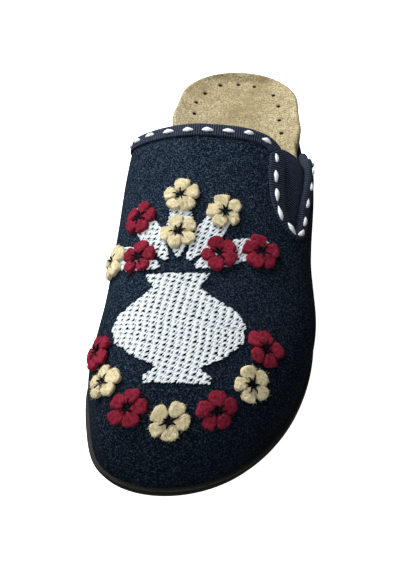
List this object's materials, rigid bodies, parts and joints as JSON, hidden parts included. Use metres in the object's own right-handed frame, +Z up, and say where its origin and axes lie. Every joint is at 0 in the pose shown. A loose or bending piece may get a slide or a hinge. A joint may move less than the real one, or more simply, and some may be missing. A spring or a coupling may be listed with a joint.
{
  "type": "wedge slipper",
  "caption": "Left backless wedge slipper: closed-toe navy suede upper with a taped collar, an elastic side gore, white embroidery and felt flowers, on a tan footbed and dark wedge sole.",
  "frame": {"origin": "middle of the bounding box in plan, on the floor the sole stands on", "axes": "+X to the outer side of the left foot, +Y from the toe to the heel, +Z up"},
  "size_m": [0.0967, 0.252, 0.0879],
  "materials": {
    "sole_foam": "matte moulded foam",
    "footbed_suede": "mottled tan suede",
    "navy_suede": "napped navy suede",
    "ribbed_tape": "ribbed woven tape",
    "elastic": "ribbed elastic webbing",
    "white_thread": "filled embroidery in white thread",
    "red_felt": "padded felt",
    "cream_felt": "padded felt"
  },
  "bodies": {
    "root": {"collar_binding": "ribbed_tape", "elastic_gore": "elastic", "embroidered_leaf_1": "white_thread", "embroidered_leaf_2": "white_thread", "embroidered_leaf_3": "white_thread", "embroidered_leaf_4": "white_thread", "embroidered_leaf_5": "white_thread", "embroidered_vase": "white_thread", "felt_flower_cream_1": "cream_felt", "felt_flower_cream_2": "cream_felt", "felt_flower_cream_3": "cream_felt", "felt_flower_cream_4": "cream_felt", "felt_flower_cream_5": "cream_felt", "felt_flower_cream_6": "cream_felt", "felt_flower_cream_7": "cream_felt", "felt_flower_red_1": "red_felt", "felt_flower_red_2": "red_felt", "felt_flower_red_3": "red_felt", "felt_flower_red_4": "red_felt", "felt_flower_red_5": "red_felt", "felt_flower_red_6": "red_felt", "felt_flower_red_7": "red_felt", "felt_flower_red_8": "red_felt", "footbed": "footbed_suede", "outsole": "sole_foam", "upper": "navy_suede"}
  },
  "joints": []
}
